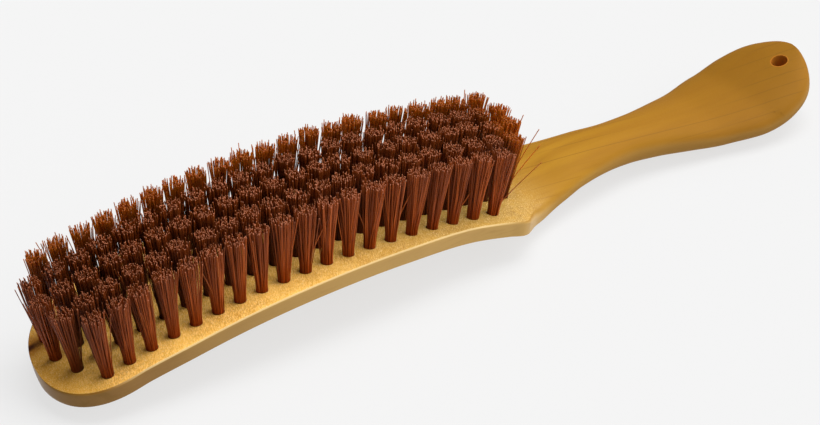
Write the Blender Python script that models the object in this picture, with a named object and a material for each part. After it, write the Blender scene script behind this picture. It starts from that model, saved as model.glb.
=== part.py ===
"""Clothes brush: a one-piece wooden stock, arched along its head, set with five rows of bristle tufts.

Metres, +Z up, bristles upwards, resting on its back. +X runs from the head's round end to the handle.
The design lines are laid out from the middle tuft of row 1, at the crown of the arch, and
LAYOUT_TO_PART lays them on the ground with the origin under the middle of the bounding box.
"""

import math

import bmesh
import bpy
from mathutils import Matrix, Vector

# ---- Tuft field -------------------------------------------------------------------------------
TUFT_PITCH = 0.0085  # along a row, measured round the arch
ROW_SPACING = 0.0098
# Each row's first tuft, in pitches from the crown of the arch, and how many tufts it has.
ROWS = ((-9.0, 19), (-9.57, 21), (-9.75, 22), (-9.42, 22), (-8.50, 21))
HOLE_RADIUS = 0.0020
HOLE_DEPTH = 0.0058
TUFT_ROOT_RADIUS = 0.00155
TUFT_ROOT_DEPTH = 0.0053
TUFT_LENGTH = 0.0232  # above the wood, at the crown of the arch
TUFT_LENGTH_SLOPE = -0.010  # the trimmed tips come slightly nearer the wood towards the handle
TUFT_TIP_RADIUS = 0.0044  # across the flats of the eight-sided fan
MOST_LEAN = math.radians(12.5)  # towards the handle, where the face begins to level out
PAIR_LEAN = 0.0004  # two neighbouring tufts lean this far together and meet at their tips
SIDES = 8

# ---- Head -------------------------------------------------------------------------------------
ARCH_RADIUS = 0.370
TIP_X = -0.0898
TIP_ROUND_LENGTH = 0.027
TIP_ROUND_POWER = 2.25
TIP_THINNING = 0.018  # the back rounds up over this length at the head's end
TIP_THINNING_POWER = 2.6
SKEW = 0.25  # the head is cut askew: every crosswise line runs this much further along on the far side
SKEW_END_X = 0.100
HANDLE_START_X = 0.145
END_SKEW = 0.12  # the handle's end is slightly askew too
END_SKEW_START_X = 0.190
HEAD_THICKNESS = 0.0139
BAND_HEIGHT = 0.0052  # the upright side of the head
BAND_EDGE = 0.0009
CROWN_POWER = 1.8  # how the back rounds off from its middle to the band
ARCH_END_X = 0.0885

# ---- Neck and handle --------------------------------------------------------------------------
HANDLE_END_X = 0.2266
HANDLE_ROUND_LENGTH = 0.028
HANDLE_ROUND_POWER = 2.4
HANDLE_THINNING = 0.007
HANDLE_THINNING_POWER = 2.2
OVAL_POWER = 2.25
HANGING_HOLE_X = 0.2176
HANGING_HOLE_Y = -0.0022
HANGING_HOLE_RADIUS = 0.0029
HANGING_HOLE_CUT = 0.040
HANGING_HOLE_SIDES = 16

# Half width of the outline in plan, (x, half width), between the two round ends.
OUTLINE = (
    (-0.0600, 0.0270),
    (-0.0400, 0.0281),
    (0.0070, 0.0285),
    (0.0420, 0.0278),
    (0.0690, 0.0264),
    (0.0850, 0.0277),
    (0.0900, 0.0285),
    (0.0925, 0.0278),
    (0.0950, 0.0256),
    (0.1000, 0.0214),
    (0.1075, 0.0175),
    (0.1190, 0.0143),
    (0.1320, 0.0119),
    (0.1450, 0.0105),
    (0.1570, 0.0116),
    (0.1700, 0.0144),
    (0.1830, 0.0175),
    (0.1960, 0.0206),
    (0.2080, 0.0213),
    (0.2266, 0.0213),
)
# Top of the wood beyond the arch, (x, height above the crown of the arch).
TOP_LINE = (
    (0.0985, -0.0121),
    (0.1080, -0.0115),
    (0.1190, -0.0102),
    (0.1320, -0.0099),
    (0.1450, -0.0107),
    (0.1570, -0.0119),
    (0.1700, -0.0134),
    (0.1830, -0.0146),
    (0.1960, -0.0141),
    (0.2080, -0.0113),
    (0.2180, -0.0086),
    (0.2266, -0.0068),
)
THICKNESS = (
    (TIP_X, HEAD_THICKNESS),
    (0.0930, HEAD_THICKNESS),
    (0.1000, 0.0126),
    (0.1100, 0.0110),
    (0.1250, 0.0106),
    (0.1450, 0.0112),
    (0.1830, 0.0113),
    (0.2080, 0.0124),
    (0.2266, 0.0110),
)
# How far a section has turned from the head's flat-faced shape into the handle's oval.
OVALNESS = (
    (0.0900, 0.0),
    (0.0925, 0.06),
    (0.0950, 0.24),
    (0.1000, 0.60),
    (0.1090, 0.90),
    (0.1230, 1.0),
    (0.2266, 1.0),
)
REST_TILT = math.radians(-1.2)  # the brush lies on the back of its tip and of its shoulder
LAND_DEPTH = 0.0009  # how much of the rounded back is flattened where it rests

# ---- Section points and stations --------------------------------------------------------------
# Half a head section: across the face, round its edge, then under the back. Half an oval section
# has a point for each of them.
FACE_SHARES = (0.0, 0.40, 0.75)
EDGE_TURNS = (90, 60, 30, 0)
CROWN_SHARES = (0.96, 0.85, 0.65, 0.40, 0.20, 0.0)
OVAL_TURNS = (90, 68, 48, 33, 24, 15, 7, -6, -18, -32, -46, -61, -76, -90)
MOST_EDGE_SHARE = 0.45  # of the half width, near the tip
# Sections stand close together at both ends and round the shoulder.
HEAD_END_TURNS = (5, 12, 22, 31, 39, 47, 55, 65, 76)
HEAD_STATIONS = [-0.061 + 0.010 * i for i in range(15)]
SHOULDER_STATIONS = [0.0850, 0.0880, 0.0900, 0.0915, 0.0930, 0.0945, 0.0960, 0.0980, 0.1005, 0.1040, 0.1080]
HANDLE_STATIONS = [0.1130 + 0.0070 * i for i in range(14)]
HANDLE_END_TURNS = (69, 56, 44, 33, 23, 14, 6)
SLOPE_STEP = 0.0005
SHARP_ANGLE = math.radians(38)


def smooth_value(keys, x):
    """A smooth curve through the keys that doesn't swing past them."""
    if x <= keys[0][0]:
        return keys[0][1]
    if x >= keys[-1][0]:
        return keys[-1][1]
    slopes = [(b[1] - a[1]) / (b[0] - a[0]) for a, b in zip(keys, keys[1:])]
    tangents = [slopes[0]]
    for before, after in zip(slopes, slopes[1:]):
        same_way = before * after > 0
        tangents.append(2 * before * after / (before + after) if same_way else 0.0)
    tangents.append(slopes[-1])
    i = max(k for k in range(len(keys) - 1) if keys[k][0] <= x)
    span = keys[i + 1][0] - keys[i][0]
    t = (x - keys[i][0]) / span
    rise = keys[i + 1][1] - keys[i][1]
    bend = tangents[i] * span * t * (1 - t) ** 2 - tangents[i + 1] * span * t * t * (1 - t)
    return keys[i][1] + rise * t * t * (3 - 2 * t) + bend


def arch_height(x):
    return math.sqrt(ARCH_RADIUS**2 - x * x) - ARCH_RADIUS


TRUE_ARCH_END_X = 0.070
ARCH_KEYS = tuple((x, arch_height(x)) for x in (0.060, TRUE_ARCH_END_X, 0.080, ARCH_END_X))


def top_height(x):
    """Height of the wood's top along its centreline."""
    if x <= TRUE_ARCH_END_X:
        return arch_height(x)
    return smooth_value(ARCH_KEYS + TOP_LINE, x)


def top_slope(x):
    rise = top_height(x + SLOPE_STEP) - top_height(x - SLOPE_STEP)
    return math.atan2(rise, 2 * SLOPE_STEP)


def round_end(depth, power):
    """Width of a round end as a share of its full width, at a depth of 0 (tip) to 1."""
    return max(1 - (1 - min(depth, 1)) ** power, 0) ** (1 / power)


def half_width(x):
    head_end = round_end((x - TIP_X) / TIP_ROUND_LENGTH, TIP_ROUND_POWER)
    handle_end = round_end((HANDLE_END_X - x) / HANDLE_ROUND_LENGTH, HANDLE_ROUND_POWER)
    return smooth_value(OUTLINE, x) * head_end * handle_end


def thickness(x):
    full = smooth_value(THICKNESS, x)
    into_head = round_end((x - TIP_X) / TIP_THINNING, TIP_THINNING_POWER)
    into_handle = round_end((HANDLE_END_X - x) / HANDLE_THINNING, HANDLE_THINNING_POWER)
    return (BAND_HEIGHT + (full - BAND_HEIGHT) * into_head) * into_handle


def head_half_section(width, depth):
    """Flat face, upright band and crowned back, from the middle of the face round to the back."""
    edge = min(BAND_EDGE, MOST_EDGE_SHARE * width)
    points = [(width * part, 0.0) for part in FACE_SHARES]
    for turn in EDGE_TURNS:
        angle = math.radians(turn)
        points.append((width - edge + edge * math.cos(angle), edge * math.sin(angle) - edge))
    points.append((width, -BAND_HEIGHT))
    for part in CROWN_SHARES:
        crown = 1 - part**CROWN_POWER
        points.append((width * part, -BAND_HEIGHT - (depth - BAND_HEIGHT) * crown))
    return points


def oval_half_section(width, depth):
    points = []
    for turn in OVAL_TURNS:
        angle = math.radians(turn)
        across = abs(math.cos(angle)) ** (2 / OVAL_POWER)
        up = math.copysign(abs(math.sin(angle)) ** (2 / OVAL_POWER), angle)
        points.append((width * across, depth / 2 * (up - 1)))
    return points


def eased(share):
    """A smooth step from 0 to 1."""
    share = min(max(share, 0), 1)
    return share * share * (3 - 2 * share)


def skew(x):
    """How far a section's points move along for each metre they lie across."""
    into_handle = eased((x - SKEW_END_X) / (HANDLE_START_X - SKEW_END_X))
    into_end = eased((x - END_SKEW_START_X) / (HANDLE_END_X - END_SKEW_START_X))
    return SKEW * (1 - into_handle) + END_SKEW * into_end


def section(x):
    """The closed ring of the stock's section at x, as points in the layout's frame."""
    width, depth = half_width(x), thickness(x)
    oval = smooth_value(OVALNESS, x)
    half = []
    for flat_point, oval_point in zip(head_half_section(width, depth), oval_half_section(width, depth)):
        half.append([(1 - oval) * a + oval * b for a, b in zip(flat_point, oval_point)])
    outline = half + [(-y, z) for y, z in reversed(half[1:-1])]
    ring = []
    for y, z in outline:
        along = x + skew(x) * y
        slope = top_slope(along)
        height = top_height(along) + z * math.cos(slope)
        ring.append(Vector((along - z * math.sin(slope), y, height)))
    return ring


def round_end_places(end, length, turns):
    """Places along a round end, crowded towards its tip. A negative length turns the end round."""
    return [end + length * (1 - math.cos(math.radians(turn))) for turn in turns]


def stations():
    """Where the sections stand."""
    head_end = round_end_places(TIP_X, TIP_ROUND_LENGTH, HEAD_END_TURNS)
    handle_end = round_end_places(HANDLE_END_X, -HANDLE_ROUND_LENGTH, HANDLE_END_TURNS)
    return head_end + HEAD_STATIONS + SHOULDER_STATIONS + HANDLE_STATIONS + handle_end


def principled(name, colour, roughness):
    material = bpy.data.materials.new(name)
    material.use_nodes = True
    shader = material.node_tree.nodes["Principled BSDF"]
    shader.inputs["Base Color"].default_value = (*colour, 1.0)
    shader.inputs["Roughness"].default_value = roughness
    shader.inputs["Metallic"].default_value = 0.0
    return material


def new_object(name, shape, collection, material=None):
    mesh = bpy.data.meshes.new(name)
    shape.to_mesh(mesh)
    shape.free()
    if material:
        mesh.materials.append(material)
    part = bpy.data.objects.new(name, mesh)
    collection.objects.link(part)
    return part


def as_cutter(cutter):
    cutter.hide_render = True
    cutter.display_type = "WIRE"
    return cutter


def cut_away(part, cutter):
    cut = part.modifiers.new(cutter.name, "BOOLEAN")
    cut.operation = "DIFFERENCE"
    cut.object = cutter


def add_frustum(shape, low_radius, high_radius, length, place, sides=SIDES):
    """A closed cone or cylinder standing on its own origin, moved to place. Radii are across flats."""
    to_corner = 1 / math.cos(math.pi / sides)
    stand = place @ Matrix.Translation((0, 0, length / 2)) @ Matrix.Rotation(math.pi / sides, 4, "Z")
    bmesh.ops.create_cone(
        shape, cap_ends=True, segments=sides, depth=length,
        radius1=low_radius * to_corner, radius2=high_radius * to_corner, matrix=stand,
    )


def tuft_places(row):
    """(place, tuft length) of every tuft in a row. A place stands on the wood, its +Z out of it."""
    places = []
    first, count = ROWS[row]
    y = (row - 2) * ROW_SPACING
    for i in range(count):
        along = (first + i) * TUFT_PITCH
        x = ARCH_RADIUS * math.sin(along / ARCH_RADIUS)
        foot = Matrix.Translation((x, y, top_height(x)))
        lean = min(along / ARCH_RADIUS, MOST_LEAN)
        place = LAYOUT_TO_PART @ foot @ Matrix.Rotation(lean, 4, "Y")
        places.append((place, TUFT_LENGTH + TUFT_LENGTH_SLOPE * along))
    return places


def build_stock(collection, cutters, wood):
    shape = bmesh.new()
    rings = []
    for x in stations():
        ring = [LAYOUT_TO_PART @ point for point in section(x)]
        rings.append([shape.verts.new((p.x, p.y, max(p.z, 0))) for p in ring])
    for ring, following in zip(rings, rings[1:]):
        for i in range(len(ring)):
            j = (i + 1) % len(ring)
            shape.faces.new((ring[i], following[i], following[j], ring[j]))
    shape.faces.new(rings[0])
    shape.faces.new(list(reversed(rings[-1])))
    bmesh.ops.recalc_face_normals(shape, faces=shape.faces)
    stock = new_object("stock", shape, collection, wood)
    stock.data.shade_smooth()
    stock.data.set_sharp_from_angle(angle=SHARP_ANGLE)

    holes = bmesh.new()
    for row in range(len(ROWS)):
        for place, _ in tuft_places(row):
            down = place @ Matrix.Translation((0, 0, -HOLE_DEPTH))
            add_frustum(holes, HOLE_RADIUS, HOLE_RADIUS, 2 * HOLE_DEPTH, down)
    cut_away(stock, as_cutter(new_object("tuft_holes", holes, cutters)))

    eye = bmesh.new()
    mouth = LAYOUT_TO_PART @ Vector((HANGING_HOLE_X, HANGING_HOLE_Y, top_height(HANGING_HOLE_X)))
    through = Matrix.Translation(mouth) @ Matrix.Translation((0, 0, -HANGING_HOLE_CUT / 2))
    radius = HANGING_HOLE_RADIUS
    add_frustum(eye, radius, radius, HANGING_HOLE_CUT, through, HANGING_HOLE_SIDES)
    cut_away(stock, as_cutter(new_object("hanging_hole", eye, cutters)))
    return stock


def add_tuft(place, length, lean, name, collection, bristle):
    """One tuft: a straight root in its hole and a fan above the wood that leans by `lean`."""
    shape = bmesh.new()
    root = place @ Matrix.Translation((0, 0, -TUFT_ROOT_DEPTH))
    add_frustum(shape, TUFT_ROOT_RADIUS, TUFT_ROOT_RADIUS, TUFT_ROOT_DEPTH, root)
    foot_faces = [f for f in shape.faces if len(f.verts) == SIDES]
    place_up = place.to_3x3() @ Vector((0, 0, 1))
    top = max(foot_faces, key=lambda f: f.calc_center_median().dot(place_up))
    grown = bmesh.ops.extrude_face_region(shape, geom=[top])
    corners = [v for v in grown["geom"] if isinstance(v, bmesh.types.BMVert)]
    bmesh.ops.delete(shape, geom=[top], context="FACES_ONLY")
    to_local = place.inverted()
    spread = TUFT_TIP_RADIUS / TUFT_ROOT_RADIUS
    for corner in corners:
        local = to_local @ corner.co
        local.x = local.x * spread + lean
        local.y *= spread
        local.z += length
        corner.co = place @ local
    bmesh.ops.recalc_face_normals(shape, faces=shape.faces)
    return new_object(name, shape, collection, bristle)


def build_row(row, collection, cutters, bristle):
    places = tuft_places(row)
    for i in range(0, len(places), 2):
        name = f"row_{row + 1}_tufts_{i // 2 + 1:02d}"
        pair = places[i : i + 2]
        lean = PAIR_LEAN if len(pair) == 2 else 0.0
        tuft = add_tuft(*pair[0], lean, name, collection, bristle)
        if len(pair) == 2:
            partner = add_tuft(*pair[1], -lean, name + "_partner", cutters, None)
            join = tuft.modifiers.new("meet_at_tips", "BOOLEAN")
            join.operation = "UNION"
            join.object = as_cutter(partner)


def rest_on_back():
    """Lays the layout on its back, with the middle of its box over the origin."""
    tilt = Matrix.Rotation(REST_TILT, 4, "Y")
    points = [tilt @ point for x in stations() for point in section(x)]
    middle = (min(p.x for p in points) + max(p.x for p in points)) / 2
    lowest = min(p.z for p in points)
    return Matrix.Translation((-middle, 0, -lowest - LAND_DEPTH)) @ tilt


LAYOUT_TO_PART = rest_on_back()


def main():
    for old in list(bpy.data.objects):
        bpy.data.objects.remove(old, do_unlink=True)
    brush = bpy.data.collections.new("clothes_brush")
    cutters = bpy.data.collections.new("cutters")
    for collection in (brush, cutters):
        bpy.context.scene.collection.children.link(collection)
    cutters.hide_render = True
    wood = principled("lacquered_wood", (0.62, 0.38, 0.12), 0.35)
    bristle = principled("brown_bristle", (0.20, 0.06, 0.025), 0.45)
    build_stock(brush, cutters, wood)
    for row in range(len(ROWS)):
        build_row(row, brush, cutters, bristle)


main()
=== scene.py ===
"""Looks of the clothes brush: the lacquered wooden stock, the bristle tufts, a pale floor and soft light.

Metres, in the CAD model's frame: bristles upwards (+Z), the handle towards +X.
"""

import math

import bmesh
import bpy
import numpy as np
from mathutils import Matrix, Vector

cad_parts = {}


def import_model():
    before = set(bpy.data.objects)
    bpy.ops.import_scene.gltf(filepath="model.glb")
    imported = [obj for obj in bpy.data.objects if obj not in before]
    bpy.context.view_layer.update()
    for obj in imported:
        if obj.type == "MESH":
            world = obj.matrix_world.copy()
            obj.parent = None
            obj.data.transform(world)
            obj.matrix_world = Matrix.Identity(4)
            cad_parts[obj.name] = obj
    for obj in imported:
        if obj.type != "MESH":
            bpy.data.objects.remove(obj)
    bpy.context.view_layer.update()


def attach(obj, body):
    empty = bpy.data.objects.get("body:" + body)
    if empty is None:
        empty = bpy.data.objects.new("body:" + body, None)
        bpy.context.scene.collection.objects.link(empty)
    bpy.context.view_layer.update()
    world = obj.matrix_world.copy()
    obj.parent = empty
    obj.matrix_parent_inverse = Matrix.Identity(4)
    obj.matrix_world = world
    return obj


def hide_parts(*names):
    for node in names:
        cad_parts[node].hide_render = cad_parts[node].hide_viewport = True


# ---- The stock's design lines, as in the CAD part ---------------------------------------------
TUFT_PITCH = 0.0085
ROW_SPACING = 0.0098
ROWS = ((-9.0, 19), (-9.57, 21), (-9.75, 22), (-9.42, 22), (-8.50, 21))
HOLE_RADIUS = 0.0020
HOLE_DEPTH = 0.0058
TUFT_LENGTH = 0.0232
TUFT_LENGTH_SLOPE = -0.010
MOST_LEAN = math.radians(12.5)
ARCH_RADIUS = 0.370
TIP_X = -0.0898
TIP_ROUND_LENGTH = 0.027
TIP_ROUND_POWER = 2.25
TIP_THINNING = 0.018
TIP_THINNING_POWER = 2.6
SKEW = 0.25
SKEW_END_X = 0.100
HANDLE_START_X = 0.145
END_SKEW = 0.12
END_SKEW_START_X = 0.190
HEAD_THICKNESS = 0.0139
BAND_HEIGHT = 0.0052
BAND_EDGE = 0.0009
CROWN_POWER = 1.8
ARCH_END_X = 0.0885
HANDLE_END_X = 0.2266
HANDLE_ROUND_LENGTH = 0.028
HANDLE_ROUND_POWER = 2.4
HANDLE_THINNING = 0.007
HANDLE_THINNING_POWER = 2.2
OVAL_POWER = 2.25
HANGING_HOLE_X = 0.2176
HANGING_HOLE_Y = -0.0022
HANGING_HOLE_RADIUS = 0.0029
HANGING_HOLE_CUT = 0.040
OUTLINE = (
    (-0.0600, 0.0270),
    (-0.0400, 0.0281),
    (0.0070, 0.0285),
    (0.0420, 0.0278),
    (0.0690, 0.0264),
    (0.0850, 0.0277),
    (0.0900, 0.0285),
    (0.0925, 0.0278),
    (0.0950, 0.0256),
    (0.1000, 0.0214),
    (0.1075, 0.0175),
    (0.1190, 0.0143),
    (0.1320, 0.0119),
    (0.1450, 0.0105),
    (0.1570, 0.0116),
    (0.1700, 0.0144),
    (0.1830, 0.0175),
    (0.1960, 0.0206),
    (0.2080, 0.0213),
    (0.2266, 0.0213),
)
TOP_LINE = (
    (0.0985, -0.0121),
    (0.1080, -0.0115),
    (0.1190, -0.0102),
    (0.1320, -0.0099),
    (0.1450, -0.0107),
    (0.1570, -0.0119),
    (0.1700, -0.0134),
    (0.1830, -0.0146),
    (0.1960, -0.0141),
    (0.2080, -0.0113),
    (0.2180, -0.0086),
    (0.2266, -0.0068),
)
THICKNESS = (
    (TIP_X, HEAD_THICKNESS),
    (0.0930, HEAD_THICKNESS),
    (0.1000, 0.0126),
    (0.1100, 0.0110),
    (0.1250, 0.0106),
    (0.1450, 0.0112),
    (0.1830, 0.0113),
    (0.2080, 0.0124),
    (0.2266, 0.0110),
)
OVALNESS = (
    (0.0900, 0.0),
    (0.0925, 0.06),
    (0.0950, 0.24),
    (0.1000, 0.60),
    (0.1090, 0.90),
    (0.1230, 1.0),
    (0.2266, 1.0),
)
REST_TILT = math.radians(-1.2)
LAND_DEPTH = 0.0009
HEAD_END_TURNS = (5, 12, 22, 31, 39, 47, 55, 65, 76)
HEAD_STATIONS = [-0.061 + 0.010 * i for i in range(15)]
SHOULDER_STATIONS = [
    0.0850, 0.0880, 0.0900, 0.0915, 0.0930, 0.0945, 0.0960, 0.0980, 0.1005, 0.1040, 0.1080,
]
HANDLE_STATIONS = [0.1130 + 0.0070 * i for i in range(14)]
HANDLE_END_TURNS = (6, 14, 23, 33, 44, 56, 69)
MIDDLE_ROW = len(ROWS) // 2

# ---- Finer detail of the wood -----------------------------------------------------------------
HOLE_CHAMFER = 0.00012
HOLE_SIDES = 20
HANGING_HOLE_SIDES = 48
WOOD_SHARP_ANGLE = math.radians(35)

# ---- Bristles ---------------------------------------------------------------------------------
FILAMENTS = 90  # in one tuft
FILAMENT_RADIUS = 0.000155
FILAMENT_SIDES = 5
FILAMENT_KNOTS = 5
FILAMENT_END = 0.0003  # a last short length, which takes the colour of the cut end
FILAMENT_SHARP_ANGLE = math.radians(75)
ROOT_RADIUS = 0.00190
ROOT_DEPTH = 0.0035  # how far a filament goes down into its hole
TIP_RADIUS = 0.0036
TIP_CROSSING = 0.00052  # how far a tip strays from its even place in the fan
TIP_UNEVEN = 0.00006
TUFT_UNEVEN = 0.00007
TIP_SHORTFALL = 0.0005  # how far the tips stop short of the CAD tuft's end
PACKING_UNEVEN = 0.04
STRAY_SHARE = 0.10  # the share of a tuft's filaments that lean out of line
STRAY_REACH = 0.0016
TUFT_SWAY = 0.00035  # how far all the tips of a tuft lean together
BOW = 0.00020
LOOSE_BEND_POWER = 1.25
SHELTER_MARGIN = 0.008  # in from the edge of the tufts, where a filament takes the full painted shade
SHELTER_DEPTH = 0.0030  # below the tips, where it takes the full painted shade
RIM_REACH = 0.007  # how far inwards the rim's share falls by 1
RIM_START = 1.4  # its share at the very edge, before it is held to 1
# Loose bristles: the row and tuft each stands in, counted from the tip or back from the handle, and
# where its tip lies from its foot.
LOOSE_BRISTLES = (
    (0, -1, (0.0206, 0.0003, 0.0120)),
    (1, -1, (0.0165, 0.0007, 0.0135)),
    (1, -1, (0.0160, 0.0010, 0.0195)),
    (2, -1, (0.0105, 0.0010, 0.0210)),
    (0, -3, (0.0171, 0.0007, 0.0155)),
    (0, -6, (0.0100, -0.0012, 0.0195)),
    (0, 2, (-0.0065, -0.0040, 0.0170)),
    (0, 5, (-0.0080, -0.0030, 0.0185)),
    (0, 9, (0.0085, -0.0020, 0.0190)),
    (0, 12, (-0.0070, -0.0010, 0.0190)),
    (4, -3, (0.0080, 0.0020, 0.0205)),
)

# ---- Anchors ----------------------------------------------------------------------------------
ANCHOR_LENGTH = 0.0034
ANCHOR_THICKNESS = 0.0004
ANCHOR_HEIGHT = 0.0008
ANCHOR_LIFT = 0.0007  # above the bottom of the hole
ANCHOR_BEVEL = 0.00008

# ---- Marks in the wood ------------------------------------------------------------------------
KNOT_AT = (-0.1541, 0.0100, 0.0108)
GROWTH_SLANT = (0.15, 1.0, 1.1)  # weights of X, Y and Z, whose sum is the same all over one growth layer
GROWTH_LINE_AT = 0.0203  # that sum on the clearest line
GROWTH_LINE_SPACING = 0.0062

# ---- Camera and light -------------------------------------------------------------------------
CAMERA_AT = Vector((-0.74356, -0.92680, 0.73378))
CAMERA_AIM = Vector((-0.01741, -0.00792, 0.02000))
CAMERA_ROLL = math.radians(0.965)
LENS = 185.24
SENSOR_WIDTH = 36.0
FLOOR_REACH = 6.0


def smooth_value(keys, x):
    """A smooth curve through the keys that doesn't swing past them."""
    if x <= keys[0][0]:
        return keys[0][1]
    if x >= keys[-1][0]:
        return keys[-1][1]
    slopes = [(b[1] - a[1]) / (b[0] - a[0]) for a, b in zip(keys, keys[1:])]
    tangents = [slopes[0]]
    for before, after in zip(slopes, slopes[1:]):
        same_way = before * after > 0
        tangents.append(2 * before * after / (before + after) if same_way else 0.0)
    tangents.append(slopes[-1])
    i = max(k for k in range(len(keys) - 1) if keys[k][0] <= x)
    span = keys[i + 1][0] - keys[i][0]
    t = (x - keys[i][0]) / span
    rise = keys[i + 1][1] - keys[i][1]
    bend = tangents[i] * span * t * (1 - t) ** 2 - tangents[i + 1] * span * t * t * (1 - t)
    return keys[i][1] + rise * t * t * (3 - 2 * t) + bend


def arch_height(x):
    return math.sqrt(ARCH_RADIUS**2 - x * x) - ARCH_RADIUS


ARCH_KEYS = tuple((x, arch_height(x)) for x in (0.060, 0.070, 0.080, ARCH_END_X))


def top_height(x):
    """Height of the wood's top along its centreline."""
    if x <= 0.070:
        return arch_height(x)
    return smooth_value(ARCH_KEYS + TOP_LINE, x)


def top_slope(x):
    step = 0.0005
    return math.atan2(top_height(x + step) - top_height(x - step), 2 * step)


def round_end(depth, power):
    """Width of a round end as a share of its full width, at a depth of 0 (tip) to 1."""
    return max(1 - (1 - min(depth, 1)) ** power, 0) ** (1 / power)


def half_width(x):
    head_end = round_end((x - TIP_X) / TIP_ROUND_LENGTH, TIP_ROUND_POWER)
    handle_end = round_end((HANDLE_END_X - x) / HANDLE_ROUND_LENGTH, HANDLE_ROUND_POWER)
    return smooth_value(OUTLINE, x) * head_end * handle_end


def thickness(x):
    full = smooth_value(THICKNESS, x)
    into_head = round_end((x - TIP_X) / TIP_THINNING, TIP_THINNING_POWER)
    into_handle = round_end((HANDLE_END_X - x) / HANDLE_THINNING, HANDLE_THINNING_POWER)
    return (BAND_HEIGHT + (full - BAND_HEIGHT) * into_head) * into_handle


# A half section runs from the middle of the top round to the middle of the back. Its places count
# 0 to 3 across the flat face, to 6 round the edge, to 7 down the band and to 13 under the back.
LAST_PLACE = 13
CROWN_SHARES = (1.0, 0.96, 0.85, 0.65, 0.40, 0.20, 0.0)
OVAL_TURNS = (90, 68, 48, 33, 24, 15, 7, -6, -18, -32, -46, -61, -76, -90)


def head_point(width, depth, place):
    edge = min(BAND_EDGE, 0.45 * width)
    if place <= 3:
        return float(np.interp(place, (0, 1, 2, 3), (0, 0.40 * width, 0.75 * width, width - edge))), 0.0
    if place <= 6:
        angle = math.radians(90 - 30 * (place - 3))
        return width - edge + edge * math.cos(angle), edge * math.sin(angle) - edge
    if place <= 7:
        return width, -edge - (place - 6) * (BAND_HEIGHT - edge)
    share = float(np.interp(place, range(7, LAST_PLACE + 1), CROWN_SHARES))
    crown = 1 - share**CROWN_POWER
    return width * share, -BAND_HEIGHT - (depth - BAND_HEIGHT) * crown


def oval_point(width, depth, place):
    angle = math.radians(float(np.interp(place, range(LAST_PLACE + 1), OVAL_TURNS)))
    across = abs(math.cos(angle)) ** (2 / OVAL_POWER)
    up = math.copysign(abs(math.sin(angle)) ** (2 / OVAL_POWER), angle)
    return width * across, depth / 2 * (up - 1)


def eased(share):
    """A smooth step from 0 to 1."""
    share = min(max(share, 0), 1)
    return share * share * (3 - 2 * share)


def skew(x):
    """How far a section's points move along for each metre they lie across."""
    into_handle = eased((x - SKEW_END_X) / (HANDLE_START_X - SKEW_END_X))
    into_end = eased((x - END_SKEW_START_X) / (HANDLE_END_X - END_SKEW_START_X))
    return SKEW * (1 - into_handle) + END_SKEW * into_end


def section(x, places):
    """The closed ring of the stock's section at x, as points in the layout's frame."""
    width, depth = half_width(x), thickness(x)
    oval = smooth_value(OVALNESS, x)
    half = []
    for place in places:
        flat_point, round_point = head_point(width, depth, place), oval_point(width, depth, place)
        half.append([(1 - oval) * a + oval * b for a, b in zip(flat_point, round_point)])
    ring = []
    for y, z in half + [(-y, z) for y, z in reversed(half[1:-1])]:
        along = x + skew(x) * y
        slope = top_slope(along)
        ring.append(Vector((along - z * math.sin(slope), y, top_height(along) + z * math.cos(slope))))
    return ring


def cad_stations():
    """Where the CAD part's sections stand. Its box is measured over these."""
    places = [TIP_X + TIP_ROUND_LENGTH * (1 - math.cos(math.radians(a))) for a in HEAD_END_TURNS]
    places += HEAD_STATIONS + SHOULDER_STATIONS + HANDLE_STATIONS
    places += [
        HANDLE_END_X - HANDLE_ROUND_LENGTH * (1 - math.cos(math.radians(a)))
        for a in reversed(HANDLE_END_TURNS)
    ]
    return places


def rest_on_back():
    """Lays the layout on its back, with the middle of its box over the origin."""
    tilt = Matrix.Rotation(REST_TILT, 4, "Y")
    points = [tilt @ point for x in cad_stations() for point in section(x, range(LAST_PLACE + 1))]
    middle = (min(p.x for p in points) + max(p.x for p in points)) / 2
    lowest = min(p.z for p in points)
    return Matrix.Translation((-middle, 0, -lowest - LAND_DEPTH)) @ tilt


LAYOUT_TO_PART = rest_on_back()
HANGING_HOLE_AT = LAYOUT_TO_PART @ Vector((HANGING_HOLE_X, HANGING_HOLE_Y, top_height(HANGING_HOLE_X)))


def fine_stations():
    """Where the sections of the visible wood stand, closer together than the CAD part's."""
    ends = [TIP_X + TIP_ROUND_LENGTH * (1 - math.cos(math.radians(a))) for a in range(5, 86, 4)]
    head = list(np.arange(-0.0625, 0.0840, 0.0025))
    shoulder = list(np.arange(0.0845, 0.1080, 0.00075))
    handle = list(np.arange(0.1090, 0.2030, 0.0020))
    round_handle = [
        HANDLE_END_X - HANDLE_ROUND_LENGTH * (1 - math.cos(math.radians(a))) for a in range(86, 5, -4)
    ]
    return [float(x) for x in ends + head + shoulder + handle + round_handle]


def fine_places():
    """The places round a half section of the visible wood."""
    face = np.arange(0, 3, 0.25)
    edge = np.arange(3, 6, 0.5)
    band = np.arange(6, 7, 0.25)
    back = np.arange(7, LAST_PLACE + 0.01, 0.25)
    return [float(p) for p in np.concatenate((face, edge, band, back))]


def tuft_places(row):
    """(place, tuft length) of every tuft in a row. A place stands on the wood, its +Z out of it."""
    places = []
    first, count = ROWS[row]
    y = (row - MIDDLE_ROW) * ROW_SPACING
    for i in range(count):
        along = (first + i) * TUFT_PITCH
        x = ARCH_RADIUS * math.sin(along / ARCH_RADIUS)
        foot = Matrix.Translation((x, y, top_height(x)))
        lean = min(along / ARCH_RADIUS, MOST_LEAN)
        place = LAYOUT_TO_PART @ foot @ Matrix.Rotation(lean, 4, "Y")
        places.append((place, TUFT_LENGTH + TUFT_LENGTH_SLOPE * along))
    return places


# ---- Materials --------------------------------------------------------------------------------


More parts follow.
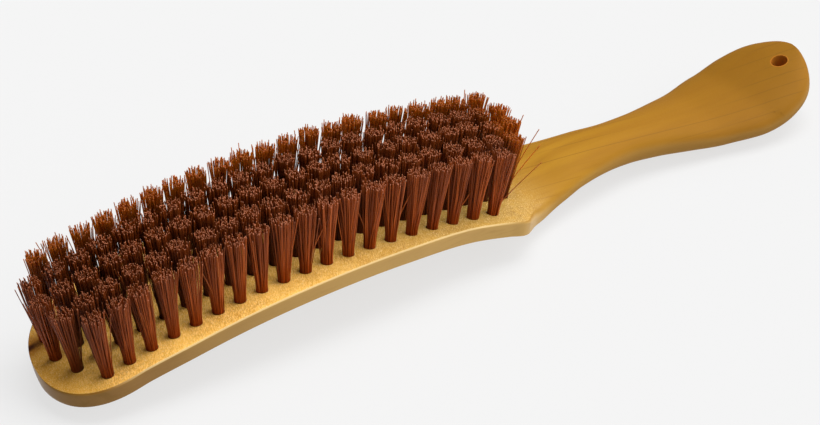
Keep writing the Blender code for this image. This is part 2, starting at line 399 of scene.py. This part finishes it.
class Nodes:
    """A small helper that adds nodes to one material."""

    def __init__(self, name):
        self.material = bpy.data.materials.new(name)
        self.material.use_nodes = True
        self.tree = self.material.node_tree
        self.shader = self.tree.nodes["Principled BSDF"]
        self.output = self.tree.nodes["Material Output"]

    def add(self, kind, inputs=(), **settings):
        node = self.tree.nodes.new(kind)
        for name, value in settings.items():
            setattr(node, name, value)
        for key, value in dict(inputs).items():
            if isinstance(value, bpy.types.NodeSocket):
                self.tree.links.new(value, node.inputs[key])
            else:
                node.inputs[key].default_value = value
        return node

    def link(self, source, target):
        self.tree.links.new(source, target)

    def scaled(self, source, scale):
        return self.add("ShaderNodeMapping", {"Vector": source, "Scale": scale}).outputs["Vector"]

    def noise(self, vector, scale, detail=3.0, roughness=0.5, distortion=0.0):
        inputs = {
            "Vector": vector,
            "Scale": scale,
            "Detail": detail,
            "Roughness": roughness,
            "Distortion": distortion,
        }
        return self.add("ShaderNodeTexNoise", inputs).outputs["Fac"]

    def ramp(self, source, stops):
        node = self.add("ShaderNodeValToRGB", {"Fac": source})
        while len(node.color_ramp.elements) < len(stops):
            node.color_ramp.elements.new(0.5)
        for element, (position, colour) in zip(node.color_ramp.elements, stops):
            element.position = position
            element.color = (*colour, 1.0)
        return node.outputs["Color"]

    def mix(self, factor, first, second, blend="MIX"):
        node = self.add("ShaderNodeMix", data_type="RGBA", blend_type=blend)
        sockets = {"Factor_Float": factor, "A_Color": first, "B_Color": second}
        for socket in node.inputs:
            if socket.identifier in sockets:
                value = sockets[socket.identifier]
                if isinstance(value, bpy.types.NodeSocket):
                    self.link(value, socket)
                else:
                    socket.default_value = value if isinstance(value, float) else (*value, 1.0)
        return next(s for s in node.outputs if s.identifier == "Result_Color")

    def maths(self, operation, first, second=0.0):
        return self.add("ShaderNodeMath", {0: first, 1: second}, operation=operation).outputs["Value"]

    def distance(self, source, point, scale):
        """The distance from a point, with each axis scaled first."""
        away = self.add("ShaderNodeVectorMath", {0: source, 1: point}, operation="SUBTRACT")
        scaled = self.scaled(away.outputs["Vector"], scale)
        return self.add("ShaderNodeVectorMath", {0: scaled}, operation="LENGTH").outputs["Value"]

    def remap(self, source, low, high, to_low=0.0, to_high=1.0):
        inputs = {"Value": source, "From Min": low, "From Max": high, "To Min": to_low, "To Max": to_high}
        return self.add("ShaderNodeMapRange", inputs, interpolation_type="SMOOTHSTEP").outputs["Result"]


def lacquered_wood():
    nodes = Nodes("lacquered_wood")
    coordinates = nodes.add("ShaderNodeTexCoord")
    where, facing = coordinates.outputs["Object"], coordinates.outputs["Normal"]
    place = nodes.add("ShaderNodeSeparateXYZ", {"Vector": where}).outputs
    upward = nodes.add("ShaderNodeSeparateXYZ", {"Vector": facing}).outputs["Z"]
    on_handle = nodes.remap(place["X"], 0.018, 0.045)
    on_head = nodes.maths("SUBTRACT", 1.0, on_handle)
    on_face = nodes.maths("MULTIPLY", nodes.remap(upward, 0.70, 0.95), on_head)
    before_shoulder = nodes.remap(place["X"], 0.000, 0.018, 1.0, 0.0)
    on_side = nodes.remap(upward, 0.10, 0.75, 1.0, 0.0)

    # The head: a streaked, mottled face, amber at its very end; painted light makes it paler towards the
    # tip, and its pale specks are painted glints.
    turned = nodes.add("ShaderNodeMapping", {"Vector": where, "Rotation": (0.0, 0.0, math.radians(-62))})
    streaks = nodes.noise(nodes.scaled(turned.outputs["Vector"], (0.20, 1.0, 1.0)), 3200.0, 1.5, 0.6)
    cloud = nodes.noise(nodes.scaled(where, (0.6, 1.0, 1.0)), 90.0, 3.0)
    plain = nodes.ramp(cloud, [(0.34, (0.262, 0.129, 0.015)), (0.66, (0.362, 0.201, 0.031))])
    figured = nodes.mix(nodes.remap(streaks, 0.40, 0.64, 0.0, 0.85), plain, (0.434, 0.267, 0.067))
    # Painted light: the face's colour is made paler towards the tip.
    towards_tip = nodes.remap(place["X"], -0.105, 0.005, 0.90, 0.0)
    painted_light = nodes.mix(towards_tip, (1.0, 1.0, 1.0), (2.15, 2.01, 1.97))
    painted_lighter = nodes.mix(1.0, figured, painted_light, "MULTIPLY")
    mottles = nodes.noise(nodes.scaled(where, (0.7, 1.0, 1.0)), 260.0, 3.0, 0.6)
    mottled = nodes.mix(nodes.remap(mottles, 0.48, 0.66, 0.0, 0.30), painted_lighter, (0.520, 0.280, 0.035))
    at_tip = nodes.remap(place["X"], -0.158, -0.143, 0.60, 0.0)
    amber_tip = nodes.mix(at_tip, mottled, (0.520, 0.230, 0.010))
    # Painted highlight: pale specks stand in for glints on the lacquered face.
    glint_noise = nodes.noise(where, 3400.0, 1.0)
    painted_glints = nodes.mix(nodes.remap(glint_noise, 0.54, 0.70, 0.0, 0.55), amber_tip, (0.880, 0.680, 0.360))
    face = nodes.mix(on_face, plain, painted_glints)

    # The handle: yellower at the neck, browner towards its end, in soft bands along the grain.
    handle = nodes.ramp(
        nodes.remap(place["X"], 0.030, 0.145),
        [(0.0, (0.362, 0.181, 0.013)), (0.28, (0.294, 0.136, 0.007)), (1.0, (0.237, 0.102, 0.005))],
    )
    bands = nodes.noise(nodes.scaled(where, (0.05, 1.0, 0.6)), 150.0, 3.0, 0.55, 0.3)
    banded = nodes.mix(nodes.remap(bands, 0.30, 0.70, 0.0, 0.50), handle, (0.226, 0.092, 0.005))
    base = nodes.mix(on_handle, face, banded)

    # The sides are painted greyer than the face, a painted reflection of the pale floor, and towards the
    # tip they are browner, partly painted shade and partly stained.
    # Partly painted shade: the sides' colour darkens towards the tip, beside the real stains added below.
    after_tip = nodes.remap(place["X"], -0.170, -0.040)
    side = nodes.mix(after_tip, (0.208, 0.108, 0.040), (0.498, 0.312, 0.110))
    # Painted reflection: sideways-facing surfaces take a greyer colour for the pale floor's reflection,
    # more on the head than on the handle.
    side_reflection_share = nodes.maths("MULTIPLY", on_side, nodes.remap(on_handle, 0.0, 1.0, 0.75, 0.25))
    stains = nodes.noise(nodes.scaled(where, (0.10, 1.0, 0.7)), 420.0, 2.0, 0.6)
    stained = nodes.mix(nodes.remap(stains, 0.48, 0.70, 0.0, 0.55), side, (0.181, 0.095, 0.027))
    dark_end = nodes.mix(nodes.remap(place["X"], -0.150, -0.090), stained, side)
    sides = nodes.mix(side_reflection_share, base, dark_end)
    fibres = nodes.noise(nodes.scaled(where, (0.035, 1.0, 1.0)), 900.0, 3.0, 0.6, 0.2)
    fine = nodes.mix(nodes.remap(fibres, 0.50, 0.75, 0.0, 0.16), sides, (0.181, 0.077, 0.009))

    # Thin growth lines run nearly straight along the handle, one of them clear and the others fainter.
    wander = nodes.noise(nodes.scaled(where, (0.30, 0.40, 0.40)), 45.0, 1.0)
    layer = nodes.add("ShaderNodeVectorMath", {0: where, 1: GROWTH_SLANT}, operation="DOT_PRODUCT")
    strayed = nodes.maths("ADD", layer.outputs["Value"], nodes.remap(wander, 0.0, 1.0, -0.0007, 0.0007))
    counted = nodes.maths("DIVIDE", nodes.maths("SUBTRACT", strayed, GROWTH_LINE_AT), GROWTH_LINE_SPACING)
    off_line = nodes.maths("PINGPONG", counted, 0.5)
    clear = nodes.noise(nodes.scaled(where, (0.10, 1.0, 1.0)), 120.0, 1.0)
    clearest = nodes.remap(nodes.maths("ABSOLUTE", counted), 0.3, 0.6, 0.55, 0.0)
    strength = nodes.maths("MAXIMUM", nodes.remap(clear, 0.36, 0.62, 0.06, 0.55), clearest)
    line = nodes.maths("MULTIPLY", nodes.remap(off_line, 0.012, 0.045, 1.0, 0.0), strength)
    on_top = nodes.maths("MULTIPLY", on_handle, nodes.remap(upward, 0.55, 0.85))
    lined = nodes.mix(nodes.maths("MULTIPLY", line, on_top), fine, (0.150, 0.062, 0.006))

    # The head's upper edge is painted with a pale highlight, but for a dark line round the tip.
    below_face = nodes.remap(upward, 0.80, 0.97, 1.0, 0.0)
    on_edge = nodes.maths("MULTIPLY", nodes.remap(upward, 0.30, 0.55), below_face)
    edge_highlight = nodes.maths("MULTIPLY", nodes.maths("MULTIPLY", on_edge, before_shoulder), 0.60)
    # The cream colour here is a painted highlight.
    edge = nodes.mix(nodes.remap(place["X"], -0.152, -0.128), (0.170, 0.060, 0.008), (0.76, 0.57, 0.28))
    highlighted = nodes.mix(edge_highlight, lined, edge)

    # A dark knot with a brown halo at the tip, longest along the brush.
    from_knot = nodes.distance(where, KNOT_AT, (0.55, 1.3, 0.9))
    ragged = nodes.maths("ADD", from_knot, nodes.remap(cloud, 0.0, 1.0, -0.0016, 0.0016))
    haloed = nodes.mix(nodes.remap(ragged, 0.0018, 0.0095, 0.85, 0.0), highlighted, (0.340, 0.120, 0.010))
    knotted = nodes.mix(nodes.remap(ragged, 0.0008, 0.0030, 0.95, 0.0), haloed, (0.058, 0.010, 0.002))

    # The bare wood inside the hanging hole is redder.
    off_axis = nodes.distance(where, HANGING_HOLE_AT, (1.0, 1.0, 0.0))
    in_hole = nodes.remap(off_axis, HANGING_HOLE_RADIUS, HANGING_HOLE_RADIUS + 0.0004, 1.0, 0.0)
    bared = nodes.mix(in_hole, knotted, (0.460, 0.165, 0.016))
    nodes.link(bared, nodes.shader.inputs["Base Color"])

    glossy = nodes.remap(streaks, 0.3, 0.7, 0.30, 0.40)
    dull = nodes.maths("MULTIPLY", on_handle, 0.30)
    nodes.link(nodes.maths("ADD", glossy, dull), nodes.shader.inputs["Roughness"])
    face_relief = nodes.maths("MULTIPLY", streaks, on_face)
    relief = nodes.maths("ADD", face_relief, nodes.maths("MULTIPLY", fibres, 0.3))
    bump = nodes.add("ShaderNodeBump", {"Height": relief, "Strength": 0.25, "Distance": 0.0001})
    nodes.link(bump.outputs["Normal"], nodes.shader.inputs["Normal"])
    nodes.shader.inputs["Specular IOR Level"].default_value = 0.08
    return nodes.material


def bristle_material():
    nodes = Nodes("brown_bristle")
    tone, along, painted_shade_share, at_rim = (
        nodes.add("ShaderNodeAttribute", attribute_name=name).outputs["Fac"]
        for name in ("tone", "along", "painted_shade", "rim")
    )
    length_colour = nodes.ramp(
        along,
        [
            (0.08, (0.390, 0.056, 0.001)),
            (0.40, (0.460, 0.090, 0.009)),
            (0.986, (0.350, 0.072, 0.010)),
            (0.990, (0.435, 0.150, 0.070)),
        ],
    )
    shade = nodes.mix(nodes.remap(tone, 0.0, 1.0), (0.60, 0.54, 0.50), (1.36, 1.42, 1.52))
    evened = nodes.mix(nodes.remap(along, 0.04, 0.35, 0.75, 0.0), shade, (0.95, 0.92, 0.90))
    where = nodes.add("ShaderNodeTexCoord").outputs["Object"]
    end_place = nodes.add("ShaderNodeSeparateXYZ", {"Vector": where}).outputs["X"]
    # Painted shade: the bristles are made darker towards the tip end of the brush.
    at_tip_end = nodes.remap(end_place, -0.165, -0.085, 0.80, 0.0)
    painted_shade_at_tip = nodes.mix(at_tip_end, evened, (0.62, 0.55, 0.50), "MULTIPLY")
    colour = nodes.mix(1.0, length_colour, painted_shade_at_tip, "MULTIPLY")
    # Painted shade: filaments far in among the tufts and below their tips are darkened.
    with_painted_shade = nodes.mix(nodes.maths("MULTIPLY", painted_shade_share, 0.80), colour, (0.052, 0.011, 0.002))
    nodes.link(with_painted_shade, nodes.shader.inputs["Base Color"])
    nodes.shader.inputs["Roughness"].default_value = 0.42
    nodes.shader.inputs["Specular IOR Level"].default_value = 0.35
    # Painted shade: the colour that light passes through is also darkened there.
    glow = nodes.mix(nodes.maths("MULTIPLY", painted_shade_share, 0.80), (0.86, 0.45, 0.054), (0.054, 0.011, 0.001))
    through = nodes.add("ShaderNodeBsdfTranslucent", {"Color": glow})
    both = nodes.add("ShaderNodeMixShader", {0: nodes.remap(at_rim, 0.0, 1.0, 0.20, 0.58)})
    nodes.link(nodes.shader.outputs["BSDF"], both.inputs[1])
    nodes.link(through.outputs["BSDF"], both.inputs[2])
    nodes.link(both.outputs["Shader"], nodes.output.inputs["Surface"])
    return nodes.material


def steel_wire():
    nodes = Nodes("steel_wire")
    where = nodes.add("ShaderNodeTexCoord").outputs["Object"]
    scratches = nodes.noise(where, 3000.0, 2.0)
    nodes.link(
        nodes.ramp(scratches, [(0.3, (0.42, 0.42, 0.43)), (0.7, (0.62, 0.62, 0.62))]),
        nodes.shader.inputs["Base Color"],
    )
    nodes.link(nodes.remap(scratches, 0.3, 0.7, 0.28, 0.45), nodes.shader.inputs["Roughness"])
    nodes.shader.inputs["Metallic"].default_value = 1.0
    return nodes.material


def floor_material():
    nodes = Nodes("pale_floor")
    nodes.shader.inputs["Base Color"].default_value = (0.12, 0.12, 0.12, 1.0)
    nodes.shader.inputs["Roughness"].default_value = 0.9
    nodes.shader.inputs["Specular IOR Level"].default_value = 0.0
    nodes.shader.inputs["Emission Color"].default_value = (1.0, 1.0, 1.0, 1.0)
    nodes.shader.inputs["Emission Strength"].default_value = 0.70
    return nodes.material


# ---- Pieces -----------------------------------------------------------------------------------


def add_piece(name, mesh, material, replaced=()):
    mesh.materials.append(material)
    piece = bpy.data.objects.new(name, mesh)
    bpy.context.scene.collection.objects.link(piece)
    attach(piece, "root")
    if replaced:
        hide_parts(*replaced)
    return piece


def from_bmesh(name, shape):
    mesh = bpy.data.meshes.new(name)
    bmesh.ops.recalc_face_normals(shape, faces=shape.faces)
    shape.to_mesh(mesh)
    shape.free()
    return mesh


def carved(mesh, cutters):
    """The mesh with each cutter mesh taken out of it."""
    work = bpy.data.objects.new("work", mesh)
    bpy.context.scene.collection.objects.link(work)
    tools = []
    for cutter in cutters:
        tool = bpy.data.objects.new("tool", cutter)
        bpy.context.scene.collection.objects.link(tool)
        tools.append(tool)
        cut = work.modifiers.new("cut", "BOOLEAN")
        cut.operation = "DIFFERENCE"
        cut.object = tool
    graph = bpy.context.evaluated_depsgraph_get()
    result = bpy.data.meshes.new_from_object(work.evaluated_get(graph))
    for used in tools + [work]:
        bpy.data.objects.remove(used, do_unlink=True)
    return result


def add_hole_cutter(shape, radius, depth, sides, place):
    """A closed cutter for a round hole that opens at place, with a small chamfer round its rim."""
    # The chamfer's 45 degree cone goes on above the face, clear of the wood.
    profile = ((-depth, radius), (-HOLE_CHAMFER, radius), (4 * HOLE_CHAMFER, radius + 5 * HOLE_CHAMFER))
    rings = []
    for height, reach in profile:
        ring = []
        for i in range(sides):
            angle = math.tau * i / sides
            point = Vector((reach * math.cos(angle), reach * math.sin(angle), height))
            ring.append(shape.verts.new(place @ point))
        rings.append(ring)
    for ring, following in zip(rings, rings[1:]):
        for i in range(sides):
            j = (i + 1) % sides
            shape.faces.new((ring[i], ring[j], following[j], following[i]))
    shape.faces.new(list(reversed(rings[0])))
    shape.faces.new(rings[-1])


def build_wood(material):
    shape = bmesh.new()
    places = fine_places()
    rings = []
    for x in fine_stations():
        ring = [LAYOUT_TO_PART @ point for point in section(x, places)]
        rings.append([shape.verts.new((p.x, p.y, max(p.z, 0))) for p in ring])
    for ring, following in zip(rings, rings[1:]):
        for i in range(len(ring)):
            j = (i + 1) % len(ring)
            shape.faces.new((ring[i], following[i], following[j], ring[j]))
    shape.faces.new(rings[0])
    shape.faces.new(list(reversed(rings[-1])))

    holes = bmesh.new()
    for row in range(len(ROWS)):
        for place, _ in tuft_places(row):
            add_hole_cutter(holes, HOLE_RADIUS, HOLE_DEPTH, HOLE_SIDES, place)
    eye = bmesh.new()
    bmesh.ops.create_cone(
        eye,
        cap_ends=True,
        segments=HANGING_HOLE_SIDES,
        depth=HANGING_HOLE_CUT,
        radius1=HANGING_HOLE_RADIUS,
        radius2=HANGING_HOLE_RADIUS,
        matrix=Matrix.Translation(HANGING_HOLE_AT),
    )
    blank = from_bmesh("wooden_stock", shape)
    mesh = carved(blank, [from_bmesh("tuft_holes", holes), from_bmesh("hanging_hole", eye)])
    mesh.name = "wooden_stock"
    mesh.shade_smooth()
    mesh.set_sharp_from_angle(angle=WOOD_SHARP_ANGLE)
    return add_piece("wooden_stock", mesh, material, ["stock"])


def knot_shares(length):
    """Where the knots stand along a filament: evenly, and one more just short of its tip."""
    return np.append(np.linspace(0, 1 - FILAMENT_END / length, FILAMENT_KNOTS), 1.0)


def filament_paths(place, length, rng):
    """The points of one tuft, (filament, knot, xyz), and how far up each stands, 0 to 1."""
    turns = np.arange(FILAMENTS) * math.pi * (3 - math.sqrt(5)) + rng.uniform(0, math.tau)
    reach = np.sqrt((np.arange(FILAMENTS) + 0.5) / FILAMENTS)
    packed = np.stack((np.cos(turns), np.sin(turns)), axis=1) * reach[:, None]
    packed += rng.normal(0, PACKING_UNEVEN, packed.shape)
    root = packed * (ROOT_RADIUS - FILAMENT_RADIUS)
    tip = packed * TIP_RADIUS + rng.normal(0, TIP_CROSSING, packed.shape)
    strays = rng.uniform(0, 1, FILAMENTS) < STRAY_SHARE
    tip[strays] += rng.normal(0, STRAY_REACH, (strays.sum(), 2))
    tip += rng.normal(0, TUFT_SWAY, 2)
    bow = rng.normal(0, BOW, packed.shape)
    heights = length - TIP_SHORTFALL + rng.normal(0, TUFT_UNEVEN) + rng.normal(0, TIP_UNEVEN, FILAMENTS)
    share = knot_shares(length)
    climb = -ROOT_DEPTH + (heights[:, None] + ROOT_DEPTH) * share[None, :]
    free = np.clip(climb / heights[:, None], 0, 1)
    across = root[:, None] + (tip - root)[:, None] * free[..., None]
    across = across + bow[:, None] * np.sin(math.pi * free)[..., None]
    points = np.concatenate((across, climb[..., None]), axis=2)
    turn = np.array(place.to_3x3())
    return points @ turn.T + np.array(place.translation), free


def loose_path(place, reach):
    """The path of one loose bristle, in the same form as filament_paths gives."""
    foot = np.array(place.translation)
    free = knot_shares(np.linalg.norm(reach))
    bend = free**LOOSE_BEND_POWER
    path = np.stack((reach[0] * bend, reach[1] * bend, reach[2] * free), axis=1)
    return (foot + path)[None], free[None]


def squared(plan):
    """Places in plan with the head's skew taken out, so that the field of tufts is a rectangle."""
    return plan - np.stack((SKEW * plan[..., 1], np.zeros(plan.shape[:-1])), axis=-1)


def painted_shade(points, free, length, field):
    """How much painted shade each point takes, 0 to 1: far in among the tufts and well below their tips.
    """
    low, high = field
    plan = squared(points[..., :2])
    from_edge = np.minimum(plan - low, high - plan).min(axis=-1)
    inside = np.clip(from_edge / SHELTER_MARGIN, 0, 1)
    below = np.clip((1 - free) * length / SHELTER_DEPTH, 0, 1)
    return inside * inside * (3 - 2 * inside) * below * (2 - below)


def rim(points, field):
    """How near each point is, 0 to 1, to the far side or the handle end of the tufts."""
    from_edge = (field[1] - squared(points[..., :2])).min(axis=-1)
    return np.clip(RIM_START - from_edge / RIM_REACH, 0, 1)


def tubes(points, radius):
    """Closed thin tubes along the paths: vertices, side faces and end faces."""
    count, knots, _ = points.shape
    direction = np.gradient(points, axis=1)
    direction /= np.linalg.norm(direction, axis=2, keepdims=True)
    side = np.cross(direction, (0.0, 1.0, 0.0))
    side /= np.linalg.norm(side, axis=2, keepdims=True)
    other = np.cross(direction, side)
    angles = np.arange(FILAMENT_SIDES) * math.tau / FILAMENT_SIDES
    ring = side[:, :, None] * np.cos(angles)[:, None] + other[:, :, None] * np.sin(angles)[:, None]
    vertices = (points[:, :, None] + ring * radius).reshape(-1, 3)
    index = np.arange(count * knots * FILAMENT_SIDES).reshape(count, knots, FILAMENT_SIDES)
    after = np.roll(index, -1, axis=2)
    quads = np.stack((index[:, :-1], after[:, :-1], after[:, 1:], index[:, 1:]), axis=-1).reshape(-1, 4)
    caps = np.concatenate((index[:, 0, ::-1], index[:, -1]))
    return vertices, quads, caps


def tube_mesh(name, points, radius, values):
    vertices, quads, caps = tubes(points, radius)
    mesh = bpy.data.meshes.new(name)
    mesh.from_pydata(vertices.tolist(), [], quads.tolist() + caps.tolist())
    for key, value in values.items():
        spread = np.repeat(np.broadcast_to(value, points.shape[:2]).reshape(-1), FILAMENT_SIDES)
        mesh.attributes.new(key, "FLOAT", "POINT").data.foreach_set("value", spread.astype(np.float32))
    mesh.shade_smooth()
    mesh.set_sharp_from_angle(angle=FILAMENT_SHARP_ANGLE)
    return mesh


def tuft_field():
    """The low and high corner of the feet of all the tufts, squared up in plan."""
    feet = np.array([place.translation[:2] for row in range(len(ROWS)) for place, _ in tuft_places(row)])
    feet = squared(feet)
    return feet.min(axis=0) - HOLE_RADIUS, feet.max(axis=0) + HOLE_RADIUS


def build_tufts(row, field, material):
    places = tuft_places(row)
    for i in range(0, len(places), 2):
        name = f"row_{row + 1}_tufts_{i // 2 + 1:02d}"
        rng = np.random.default_rng(1000 * (row + 1) + i)
        paths, frees = [], []
        for place, length in places[i : i + 2]:
            path, free = filament_paths(place, length, rng)
            paths.append(path)
            frees.append(free)
        for loose_row, tuft, reach in LOOSE_BRISTLES:
            if loose_row == row and tuft % len(places) in (i, i + 1):
                path, free = loose_path(places[tuft][0], reach)
                paths.append(path)
                frees.append(free)
        points, free = np.concatenate(paths), np.concatenate(frees)
        values = {
            "along": free,
            "tone": rng.uniform(0, 1, len(points))[:, None],
            "painted_shade": painted_shade(points, free, places[i][1], field),
            "rim": rim(points, field),
        }
        mesh = tube_mesh(f"bristles_{name}", points, FILAMENT_RADIUS, values)
        add_piece(f"bristles_{name}", mesh, material, [name])


def build_anchors(row, material):
    """The flat wire staple at the bottom of each hole, which in the real brush holds its tuft by the
    fold.
    """
    shape = bmesh.new()
    for place, _ in tuft_places(row):
        foot = place @ Matrix.Translation((0, 0, -HOLE_DEPTH + ANCHOR_LIFT + ANCHOR_HEIGHT / 2))
        stand = foot @ Matrix.Diagonal((ANCHOR_THICKNESS, ANCHOR_LENGTH, ANCHOR_HEIGHT, 1))
        bmesh.ops.create_cube(shape, size=1, matrix=stand)
    bmesh.ops.bevel(shape, geom=shape.edges[:], offset=ANCHOR_BEVEL, segments=1, affect="EDGES")
    mesh = from_bmesh(f"anchors_row_{row + 1}", shape)
    add_piece(f"anchors_row_{row + 1}", mesh, material)


# ---- Setting ----------------------------------------------------------------------------------


def build_floor(material):
    shape = bmesh.new()
    bmesh.ops.create_grid(shape, x_segments=1, y_segments=1, size=FLOOR_REACH)
    mesh = from_bmesh("floor", shape)
    mesh.materials.append(material)
    floor = bpy.data.objects.new("floor", mesh)
    bpy.context.scene.collection.objects.link(floor)


def look_from(thing, place, aim, roll=0.0):
    """Stands a camera or lamp at place, facing aim and rolled about its view."""
    facing = (aim - place).to_track_quat("-Z", "Y").to_matrix().to_4x4()
    thing.matrix_world = Matrix.Translation(place) @ facing @ Matrix.Rotation(roll, 4, "Z")


def add_camera():
    lens = bpy.data.cameras.new("camera")
    lens.sensor_width = SENSOR_WIDTH
    lens.lens = LENS
    camera = bpy.data.objects.new("camera", lens)
    bpy.context.scene.collection.objects.link(camera)
    look_from(camera, CAMERA_AT, CAMERA_AIM, CAMERA_ROLL)
    bpy.context.scene.camera = camera


def add_sun(name, irradiance, spread, towards):
    """A soft distant lamp. Its irradiance is what it gives to a white floor, with the world at 1."""
    lamp = bpy.data.lights.new(name, "SUN")
    lamp.energy = irradiance * math.pi / Vector(towards).normalized().z
    lamp.angle = math.radians(spread)
    sun = bpy.data.objects.new(name, lamp)
    bpy.context.scene.collection.objects.link(sun)
    look_from(sun, Vector(towards), Vector((0, 0, 0)))


def add_light():
    world = bpy.data.worlds.new("studio")
    bpy.context.scene.world = world
    world.use_nodes = True
    background = world.node_tree.nodes["Background"]
    background.inputs["Color"].default_value = (1.0, 1.0, 1.0, 1.0)
    background.inputs["Strength"].default_value = 0.22
    add_sun("key_light", 1.10, 45, (0.28, 0.02, 1.0))
    add_sun("side_light", 0.13, 30, (1.0, 0.2, 0.5))
    add_sun("front_light", 0.32, 60, (0.6, -0.7, 0.6))
    bpy.context.scene.view_settings.view_transform = "Standard"


def main():
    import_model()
    build_wood(lacquered_wood())
    bristle = bristle_material()
    wire = steel_wire()
    field = tuft_field()
    for row in range(len(ROWS)):
        build_tufts(row, field, bristle)
        build_anchors(row, wire)
    build_floor(floor_material())
    add_camera()
    add_light()
    bpy.context.view_layer.update()


main()
